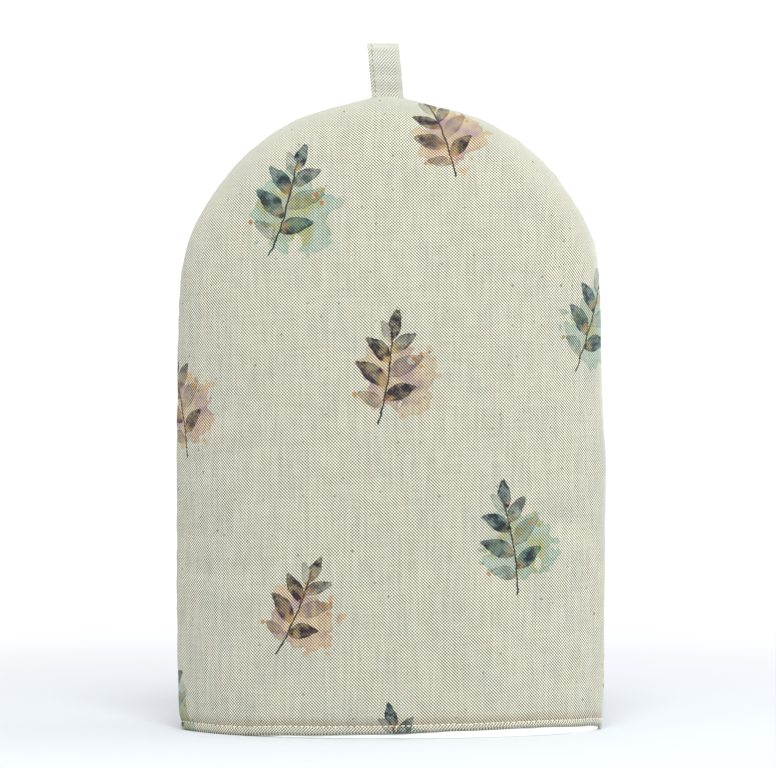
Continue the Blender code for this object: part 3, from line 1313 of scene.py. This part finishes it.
@dataclass(frozen=True)
class Settling:
    """Cloth simulation of a panel's face, cut a little large, held at seam and hem, and pushed out.

    The settled face lends the panel its small soft dimples, at a share of their depth, because the wadding
    behind the real cloth keeps it from sinking in all the way.
    """

    columns: int = 57
    rows: int = 71
    first_row: float = 0.0060
    top_gap: float = 0.0050
    extra_cloth: float = 0.004
    push: float = 0.8
    weight: float = 0.25
    stretch_stiffness: float = 25.0
    shear_stiffness: float = 8.0
    bend_stiffness: float = 4.0
    quality: int = 7
    frames: int = 20
    most: float = 0.0018
    share: float = 0.5
    even_rows: float = 0.65
    rough_from: float = 0.02
    seed: int = 31

    def _grid(self, side: Side) -> tuple[np.ndarray, np.ndarray]:
        """Lays the face out before it settles.

        Args:
            side: The panel's side.

        Returns:
            Its points, rows by columns by 3, and the height that each row stands at.
        """
        top = DOME.spring + DOME.radius - self.top_gap
        height = self.first_row + (top - self.first_row) * np.sin(np.linspace(0.0, math.pi / 2, self.rows))
        even = np.linspace(self.first_row, top, self.rows)
        height = self.even_rows * even + (1 - self.even_rows) * height
        turn = np.linspace(-math.pi / 2, math.pi / 2, self.columns)
        z = height[:, None] + 0 * turn
        x = DOME.half_width(z) * np.sin(turn)
        deep = DOME.depth(x, z, 0.0)
        rough = Unevenness(self.seed + side.value).humps(UNSETTLED_HUMPS, x, z)
        deep = deep + rough * ramp(deep, 0.0, self.rough_from)
        return np.stack([x, side.value * deep, z], axis=-1), height

    def settle(self, side: Side) -> tuple[np.ndarray, np.ndarray]:
        """Runs the simulation.

        Args:
            side: The panel's side.

        Returns:
            How far each point moved, rows by columns by 3, and each row's height before it settled.
        """
        points, height = self._grid(side)
        flat = points.reshape(-1, 3)
        cloth = new_piece("settling cloth", flat, grid_faces(self.rows, self.columns))
        number = np.arange(len(flat)).reshape(self.rows, self.columns)
        sewn = np.unique(np.concatenate([number[0], number[-1], number[:, 0], number[:, -1]]))
        cloth.vertex_groups.new(name="sewn").add(sewn.tolist(), 1.0, "REPLACE")
        modifier = cloth.modifiers.new("cloth", "CLOTH")
        settings = modifier.settings
        settings.vertex_group_mass = "sewn"
        settings.quality, settings.mass = self.quality, self.weight
        settings.tension_stiffness = settings.compression_stiffness = self.stretch_stiffness
        settings.shear_stiffness, settings.bending_stiffness = self.shear_stiffness, self.bend_stiffness
        settings.shrink_min = -self.extra_cloth
        settings.use_pressure, settings.uniform_pressure_force = True, self.push
        settings.effector_weights.gravity = 0.0
        modifier.point_cache.frame_end = self.frames
        scene = bpy.context.scene
        for step in range(1, self.frames + 1):
            scene.frame_set(step)
        worked = cloth.evaluated_get(bpy.context.evaluated_depsgraph_get())
        moved = np.empty(len(flat) * 3)
        worked.data.vertices.foreach_get("co", moved)
        shift = (moved.reshape(-1, 3) - flat).reshape(points.shape)
        bpy.data.objects.remove(cloth)
        scene.frame_set(1)
        return shift, height

    def at(self, side: Side, x: np.ndarray, z: np.ndarray) -> np.ndarray:
        """How far the settled face has moved at places on the panel.

        Args:
            side: The panel's side.
            x: Sideways place of each point.
            z: Height of each point.

        Returns:
            The distance out at each place.
        """
        shift, height = self.settle(side)
        out = shift[..., 1] * side.value
        LOG.info("settled %s: %.2f to %.2f mm", side.name, out.min() * 1000, out.max() * 1000)
        turn = np.arcsin(np.clip(x / DOME.half_width(z), -1.0, 1.0))
        column = (turn / math.pi + 0.5) * (self.columns - 1)
        row = np.interp(z, height, np.arange(self.rows))
        i = np.minimum(row.astype(int), self.rows - 2)
        j = np.minimum(column.astype(int), self.columns - 2)
        moved = read_between(out.T, j, i, column - j, row - i)
        return self.most * np.tanh(self.share * moved / self.most)


@dataclass
class PaddedPanel(ClothShell):
    """A padded panel of printed canvas with a turned, topstitched hem."""

    seam_pinch: float = 0.0011
    pinch_reach: float = 0.0021
    seam_ridge: float = 0.0003
    ridge_place: float = 0.007
    ridge_width: float = 0.004
    pucker: float = 0.00042
    pucker_reach: float = 0.011
    calm_reach: float = 0.006
    hem_sink: float = 0.0013
    sink_reach: float = 0.0060
    strip_rise: float = 0.00060
    trough: float = 0.00032
    trough_width: float = 0.00055
    gather: float = 0.00034
    gather_reach: float = 0.0075
    crease: float = 0.00020
    crease_slope: float = 0.8
    corner_calm: float = 0.85
    corner_reach: float = 0.004
    fold_inside: float = 0.7
    fill: float = 0.55

    @property
    def uneven(self) -> Unevenness:
        """The panel's own unevenness."""
        return Unevenness(self.seed)

    def relief(self, points: np.ndarray, height: np.ndarray) -> np.ndarray:
        """How far the outer face stands out from the plain dome.

        Args:
            points: The outer face's points.
            height: Each point's height above the hem.

        Returns:
            The distance out at each point, along its normal.
        """
        x, z = points[..., 0], points[..., 2]
        seam = DOME.seam_distance(points)
        calm = 1 - hump(seam, self.calm_reach)
        settled = Settling().at(self.side, x, z) * calm
        body = self.uneven.humps(BODY_HUMPS, x, z) * calm
        pinch = self.seam_ridge * hump(seam - self.ridge_place, self.ridge_width)
        pinch = -self.seam_pinch * hump(seam, self.pinch_reach) + pinch
        hem = self._hem_relief(x, height) * (1 - self.corner_calm * np.exp(-seam / self.corner_reach))
        return settled + body + self._puckers(x, z, seam) + pinch + hem

    def _puckers(self, x: np.ndarray, z: np.ndarray, seam: np.ndarray) -> np.ndarray:
        """Small gathers along the seam, fading away from it."""
        along = DOME.seam_place(x, z)
        wave = self.uneven.along(along, self.side.value, 0.0085) + 0.6 * self.uneven.along(along, 5, 0.0047)
        return self.pucker * wave * np.exp(-seam / self.pucker_reach)

    def _hem_relief(self, x: np.ndarray, height: np.ndarray) -> np.ndarray:
        """The hem's sunk, rounded and gathered strip, and the trough of its topstitching.

        Args:
            x: Sideways place.
            height: Height above the hem.

        Returns:
            The distance out at each place.
        """
        stitch = self.stitch_height(x)
        over = height - stitch
        swell = np.where(over > 0, np.exp(-np.maximum(over, 0) / self.sink_reach), 1.0)
        round_strip = self.strip_rise * np.sin(np.clip(-over / stitch, 0, 1) * math.pi)
        strip = np.where(over < 0, round_strip, 0.0)
        trough = -self.trough * hump(over, self.trough_width)
        gather = self.uneven.along(x, 3, 0.0090) + 0.5 * self.uneven.along(x, 8, 0.0050)
        ripples = self.gather * gather * np.exp(-np.abs(over) / self.gather_reach)
        slanted = self.crease * self.uneven.along(x + self.crease_slope * height, 1, 0.0062) * (over < 0)
        return -self.hem_sink * swell + strip + trough + ripples + slanted

    def declare(self, piece: bpy.types.Object) -> None:
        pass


@dataclass
class LiningPanel(ClothShell):
    """A white cotton lining panel, a little uneven along its lower edge."""

    inset: float = 0.00645
    thickness: float = 0.0012
    hem_inset: float = 0.00265
    hem_thickness: float = 0.0012
    columns: int = 161
    edge_rows: int = 4
    hem_step: float = 0.0005
    body_rows: int = 70
    flat: tuple[float, float] = (0.266, 0.347)
    shown_below: Sequence[HemRow] = BACK_HEM_ROWS
    shown_gap: float = 0.0001
    edge_wave: float = 0.0003
    edge_gap: float = 0.00006
    roll: float = 0.0016
    roll_wave: float = 0.0003
    roll_height: float = 0.0008
    seam_reach: float = 0.012
    wrinkle: float = 0.0001

    def hem(self, x: np.ndarray) -> np.ndarray:
        """Height of the lining's lower edge."""
        wave = 0.5 + 0.5 * Unevenness(self.seed).along(x, 2, 0.016)
        return self.edge_gap + self.edge_wave * wave

    def relief(self, points: np.ndarray, height: np.ndarray) -> np.ndarray:
        """How far the lining's face that meets the padding stands out from the plain dome.

        Args:
            points: That face's points.
            height: Each point's height above the hem. Not used.

        Returns:
            The distance out at each point, along its normal.
        """
        x, z = points[..., 0], points[..., 2]
        uneven = Unevenness(self.seed)
        below = ramp(ease_rows(self.shown_below, x, "rise") - self.shown_gap, z, self.roll_height)
        roll = ease(below) * (self.roll + self.roll_wave * uneven.along(x, 4, 0.011))
        held = ramp(DOME.seam_distance(points), 0.0, self.seam_reach)
        return roll * held + self.wrinkle * uneven.at(x, z, 0.02)


@dataclass
class HangingLoop:
    """The folded tape, up from the seam, over its fold and down again."""

    name: str = "tape_loop"
    width: float = 0.0170
    thickness: float = 0.0013
    top: float = 0.3704
    lean: float = -0.088
    held_in_seam: float = 0.0050
    stitch_from_edge: float = 0.0021
    stitch_sink: float = 0.00018
    stitch_clear: float = 0.0006
    squareness: float = 0.55
    groove: float = 0.00022
    groove_width: float = 0.0005
    waviness: float = 0.00008
    edge_ripple: float = 0.00012
    least: float = 0.00005
    smooth_fold_height: float = 0.0042
    smooth_strip: float = 0.0138
    smooth_line: float = 0.0036
    strip_smoothness: float = 0.6
    seed: int = 17
    leg_steps: int = 26
    ring_points: int = 44
    flat: tuple[float, float] = (0.035, 0.073)
    lines: list[dict[str, np.ndarray]] = field(default_factory=list)

    @property
    def foot(self) -> float:
        """Height of the tape's end inside the seam."""
        return DOME.spring + DOME.radius + DOME.seam_lift - self.held_in_seam

    def path(self) -> np.ndarray:
        """Middle line of the tape as Y and Z, rounded at its fold.

        Returns:
            The line's points, n by 2.
        """
        share = np.linspace(0.0, 1.0, self.leg_steps)
        spread = ease_rows(LOOP_ROWS, share, "spread")
        z = self.foot + share * (self.top - self.thickness / 2 - self.foot)
        line = np.stack([np.concatenate([-spread, spread[::-1]]), np.concatenate([z, z[::-1]])], axis=-1)
        for _ in range(2):
            near, far = line[:-1] * 0.75 + line[1:] * 0.25, line[:-1] * 0.25 + line[1:] * 0.75
            middle = np.stack([near, far], axis=1).reshape(-1, 2)
            line = np.concatenate([line[:1], middle, line[-1:]])
        return line

    def _middle(self, z: np.ndarray) -> np.ndarray:
        """Sideways place of the leaning tape's middle at a height."""
        return DOME.loop_x + self.lean * (z - (self.foot + self.held_in_seam))

    def _ring(self) -> tuple[np.ndarray, np.ndarray]:
        """Shapes the tape's rounded section.

        Returns:
            How far each of its points is across from the tape's middle, and how far out.
        """
        around = np.linspace(0.0, 2 * math.pi, self.ring_points, endpoint=False)
        cosine, sine = np.cos(around), np.sin(around)
        across = np.sign(cosine) * np.abs(cosine) ** self.squareness * self.width / 2
        return across, np.sign(sine) * np.abs(sine) ** self.squareness * self.thickness / 2

    def build(self) -> bpy.types.Object:
        """Builds the tape as a flattened tube, open where the seam holds it, and keeps its stitch lines.

        Returns:
            The new object.
        """
        line = self.path()
        run = run_length(line)
        tangent = unit(np.gradient(line, axis=0))
        normal = np.stack([-tangent[:, 1], tangent[:, 0]], axis=-1)
        across, out = self._ring()
        uneven = Unevenness(self.seed)
        from_left = across[None, :] + self.width / 2 + 0 * run[:, None]
        groove = self.groove * hump(from_left - self.stitch_from_edge, self.groove_width)
        wavy = self.waviness * uneven.at(from_left, run[:, None] + 0 * from_left, 0.006)
        lift = np.sign(out) * np.maximum(np.abs(out) - groove, self.least) + wavy
        ripple = self.edge_ripple * uneven.along(run, 4, 0.009)
        y = line[:, None, 0] + normal[:, None, 0] * lift
        z = np.minimum(line[:, None, 1] + normal[:, None, 1] * lift, self.top)
        points = together(across + self._middle(z) + ripple[:, None] * np.sign(across), y, z)
        ring = np.diff(np.concatenate([across, across[:1]])), np.diff(np.concatenate([out, out[:1]]))
        girth = np.concatenate([[0.0], np.cumsum(np.hypot(*ring))])[:-1]
        place = together(girth, run[:, None], 0.0)
        edges = together(0.02, 0.05, self._smoothed(z, from_left))
        self._keep_lines(line, normal)
        faces = grid_faces(len(line), self.ring_points, round_it=True)
        facts = {"cloth_place": place.reshape(-1, 3), "cloth_edges": edges.reshape(-1, 3)}
        return new_piece(self.name, points.reshape(-1, 3), faces, facts)

    def _smoothed(self, z: np.ndarray, from_left: np.ndarray) -> np.ndarray:
        """Share by which the weave is smoothed: over the fold, and along both edges.

        Args:
            z: Height of each point.
            from_left: Distance of each point from the tape's left edge.

        Returns:
            The share at each point.
        """
        fold = ramp(z - self.top, -self.smooth_fold_height, 0.002)
        strip = ramp(from_left, self.smooth_strip, 0.001)
        strip = np.maximum(strip, hump(from_left - self.smooth_line, 0.0008))
        return np.maximum(fold, self.strip_smoothness * strip)

    def _keep_lines(self, line: np.ndarray, normal: np.ndarray) -> None:
        """Keeps a line of stitches on each face of the tape, above the seam.

        Args:
            line: The tape's middle line as Y and Z.
            normal: Its normals as Y and Z.
        """
        x = self._middle(line[:, 1]) - self.width / 2 + self.stitch_from_edge
        clear_above = self.foot + self.held_in_seam + self.stitch_clear
        for sign in (-1.0, 1.0):
            y, z = (line + sign * normal * (self.thickness / 2 - self.stitch_sink)).T
            points, facing = together(x, y, z), together(0.0, *(sign * normal).T)
            clear = z > clear_above
            self.lines.append({"points": points[clear], "normals": facing[clear]})


@dataclass
class Topstitch:
    """A run of short stitches along a line on the cloth."""

    name: str
    line: dict[str, np.ndarray]
    pitch: float = 0.0030
    length: float = 0.0023
    radius: float = 0.00038
    sink: float = -0.00006
    end_dip: float = 0.00025
    shortest: float = 0.88
    longest: float = 1.06
    drift: float = 0.00008
    bluntness: float = 0.7
    tip: float = 0.02
    flatness: float = 0.8
    rings: int = 7
    sides: int = 8
    seed: int = 5

    def mesh(self) -> tuple[np.ndarray, np.ndarray, np.ndarray]:
        """Shapes every stitch.

        Returns:
            The stitches' points, faces and cloth places.
        """
        points, normals = self.line["points"], self.line["normals"]
        run = run_length(points)
        chance = np.random.default_rng(self.seed)
        starts = np.arange(self.pitch * 0.6, run[-1] - self.length, self.pitch)
        along = np.sin(np.linspace(-math.pi / 2, math.pi / 2, self.rings))
        fat = np.sqrt(np.maximum(1 - along**2, 0.0)) ** self.bluntness + self.tip
        around = np.linspace(0.0, 2 * math.pi, self.sides, endpoint=False)
        all_points, all_faces, all_places = [], [], []
        for number, start in enumerate(starts):
            length = self.length * chance.uniform(self.shortest, self.longest)
            drift = chance.normal(0.0, self.drift)
            at = start + (along + 1) / 2 * length
            centre, up = (
                np.stack([np.interp(at, run, values[:, k]) for k in range(3)], axis=-1)
                for values in (points, normals)
            )
            up = unit(up)
            ahead = centre[-1] - centre[0]
            ahead /= np.linalg.norm(ahead)
            side = np.cross(up, ahead)
            centre = centre + side * drift - up * (self.sink + self.end_dip * (along**4))[:, None]
            thick = self.radius * fat[:, None]
            ring = (
                centre[:, None]
                + up[:, None] * (thick * np.sin(around))[..., None] * self.flatness
                + side[:, None] * (thick * np.cos(around))[..., None]
            )
            first = number * self.rings * self.sides
            all_points.append(ring.reshape(-1, 3))
            all_faces.append(grid_faces(self.rings, self.sides, start=first, round_it=True))
            all_places.append(together(at[:, None], around * self.radius, 0.0).reshape(-1, 3))
        return np.concatenate(all_points), np.concatenate(all_faces), np.concatenate(all_places)

    def build(self) -> bpy.types.Object:
        """Builds the stitches as one piece."""
        points, faces, places = self.mesh()
        return new_piece(self.name, points, faces, {"cloth_place": places})


# ---------------------------------------------------------------- the whole cosy


@dataclass
class Cosy:
    """The cosy's pieces and the finish of each."""

    pieces: list[bpy.types.Object] = field(default_factory=list)

    def keep(
        self, piece: bpy.types.Object, material: bpy.types.Material, nodes: Sequence[str] = ()
    ) -> bpy.types.Object:
        """Dresses a piece and ties it to the frame.

        Args:
            piece: The piece.
            material: Its finish.
            nodes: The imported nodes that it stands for.

        Returns:
            The same piece.
        """
        piece.data.materials.clear()
        piece.data.materials.append(material)
        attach(piece, "root")
        if nodes:
            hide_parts(*nodes)
        self.pieces.append(piece)
        LOG.info("%s: %d faces", piece.name, len(piece.data.polygons))
        return piece

    def build(self) -> None:
        """Builds and dresses every piece."""
        yarns, mottle = YarnGroup(), MottleGroup()
        leaves = PrintGroup(LeafGroup())
        canvas = Canvas("printed canvas", yarns, mottle, leaves).make()
        tape = Canvas(
            "plain canvas tape", yarns, mottle, light=(1.0, 1.0, 0.90), dark=(0.25, 0.275, 0.210),
            slant=0.45, softness=0.30,
        ).make()
        cotton = Cotton("white cotton", yarns, mottle).make()
        thread = Thread("topstitching thread").make()
        tape_thread = Thread("tape thread", light=(0.50, 0.48, 0.38), dark=(0.26, 0.25, 0.19)).make()

        panels = (
            PaddedPanel("canvas_front", Side.FRONT, Slot.CANVAS, FRONT_HEM_ROWS, FRONT_FOLD_ROWS, seed=3),
            PaddedPanel(
                "canvas_back", Side.BACK, Slot.CANVAS, BACK_HEM_ROWS, BACK_FOLD_ROWS, seed=11,
                cloth_shift=(0.112, 0.150),
            ),
        )
        for panel, node in zip(panels, ("front_panel", "back_panel")):
            piece = self.keep(panel.build(), canvas, [node])
            panel.declare(piece)
            stitches = Topstitch(panel.name.replace("canvas", "topstitch"), panel.lines, seed=panel.seed)
            self.keep(stitches.build(), thread)

        ends = (("front", FRONT_HEM_ROWS, 21), ("back", BACK_HEM_ROWS, 23))
        for (end, shown_below, seed), over in zip(ends, panels):
            panel = LiningPanel(
                f"cotton_{end}", over.side, Slot.LINING, BACK_HEM_ROWS, over.fold_rows, seed=seed,
                shown_below=shown_below,
            )
            piece = self.keep(panel.build(), cotton, [f"lining_{end}"])

        loop = HangingLoop()
        piece = self.keep(loop.build(), tape, ["hanging_loop"])
        stitches = []
        for number, line in enumerate(loop.lines):
            name = f"tape_stitch_{number + 1}"
            row = Topstitch(name, line, pitch=0.0028, length=0.0020, radius=0.00028, seed=31)
            stitches.append(self.keep(row.build(), tape_thread))


# ---------------------------------------------------------------- studio


@dataclass(frozen=True)
class SoftLight:
    """A soft square light aimed at the cosy."""

    name: str
    place: Colour
    size: float
    power: float
    colour: Colour
    aim_height: float = 0.26

    def build(self) -> None:
        """Adds the light."""
        data = bpy.data.lights.new(self.name, "AREA")
        data.size, data.energy, data.color = self.size, self.power, self.colour
        light = add_object(self.name, data)
        light.location = self.place
        aim = np.array([0.0, 0.0, self.aim_height]) - np.array(self.place)
        light.rotation_euler = Vector(aim.tolist()).to_track_quat("-Z", "Y").to_euler()


@dataclass
class Studio:
    """Pale floor, soft light and the camera."""

    flat_rings: int = 16
    bowl_rings: int = 18
    spokes: int = 96
    flat_radius: float = 2.6
    bowl_radius: float = 4.2
    bowl_height: float = 4.0
    floor_colour: Colour = (0.735, 0.762, 0.800)
    glow: Colour = (1.045, 1.045, 1.045)
    fill: float = 0.80
    key: SoftLight = SoftLight("key", (0.10, -1.60, 2.10), 1.0, 39.0, (0.965, 0.990, 1.0))
    side: SoftLight = SoftLight("side", (1.40, 0.15, 0.35), 0.6, 6.0, (1.0, 1.0, 1.0))
    fade_from: float = 0.22
    fade_to: float = 1.0
    camera_height: float = 0.1863
    camera_distance: float = 2.0
    camera_x: float = -0.0016
    lens: float = 171.8
    sensor: float = 36.0

    def build(self) -> None:
        """Builds the floor, world, lights and camera."""
        self._floor()
        self._world()
        self.key.build()
        self.side.build()
        self._camera()
        bpy.context.scene.view_settings.view_transform = "Standard"

    def _floor(self) -> None:
        """Builds a pale floor that rises into a bowl far from the cosy."""
        flat = np.linspace(0.0, self.flat_radius, self.flat_rings)[1:]
        turn = np.linspace(0.0, math.pi / 2, self.bowl_rings)[1:]
        bend = self.bowl_radius - self.flat_radius
        radii = np.concatenate([flat, self.flat_radius + bend * np.sin(turn), [self.bowl_radius]])[:, None]
        heights = np.concatenate([0 * flat, bend * (1 - np.cos(turn)), [self.bowl_height]])[:, None]
        around = np.linspace(0.0, 2 * math.pi, self.spokes, endpoint=False)
        rings = together(radii * np.cos(around), radii * np.sin(around), heights)
        points = np.concatenate([rings.reshape(-1, 3), [[0.0, 0.0, 0.0]]])
        faces = grid_faces(len(radii), self.spokes, round_it=True).tolist()
        faces += [[len(points) - 1, (i + 1) % self.spokes, i] for i in range(self.spokes)]
        mesh = bpy.data.meshes.new("floor")
        mesh.from_pydata(points.tolist(), [], faces)
        mesh.shade_smooth()
        floor = add_object("floor", mesh)
        material, sketch = new_finish("pale floor")
        place = sketch.node("TexCoord").outputs["Object"]
        far = sketch.step(sketch.length(place), self.fade_from, self.fade_to)
        seen = sketch.node("LightPath").outputs["Is Camera Ray"]
        shine = sketch.mix(seen, (self.fill,) * 3, self.glow)
        dark = (0.0, 0.0, 0.0)
        sketch.surface(
            Base_Color=sketch.mix(far, self.floor_colour, dark), Emission_Strength=1.0,
            Emission_Color=sketch.mix(far, dark, shine), Roughness=0.95, Specular_IOR_Level=0.0,
        )
        mesh.materials.append(material)

    def _world(self) -> None:
        """Lights the scene evenly from above."""
        world = bpy.data.worlds.new("studio")
        bpy.context.scene.world = world
        world.use_nodes = True
        backdrop = world.node_tree.nodes["Background"]
        backdrop.inputs["Color"].default_value = (1.0, 1.0, 1.0, 1.0)
        backdrop.inputs["Strength"].default_value = self.fill

    def _camera(self) -> None:
        """Adds the camera, straight in front of the cosy."""
        data = bpy.data.cameras.new("camera")
        data.lens, data.sensor_width = self.lens, self.sensor
        data.clip_start, data.clip_end = 0.05, 20.0
        camera = add_object("camera", data)
        camera.location = (self.camera_x, -self.camera_distance, self.camera_height)
        camera.rotation_euler = (math.pi / 2, 0.0, 0.0)
        bpy.context.scene.camera = camera


def main() -> None:
    """Builds the cosy and its studio."""
    logging.basicConfig(level=logging.INFO, format="%(message)s")
    Cosy().build()
    Studio().build()


if __name__ == "__main__":
    main()
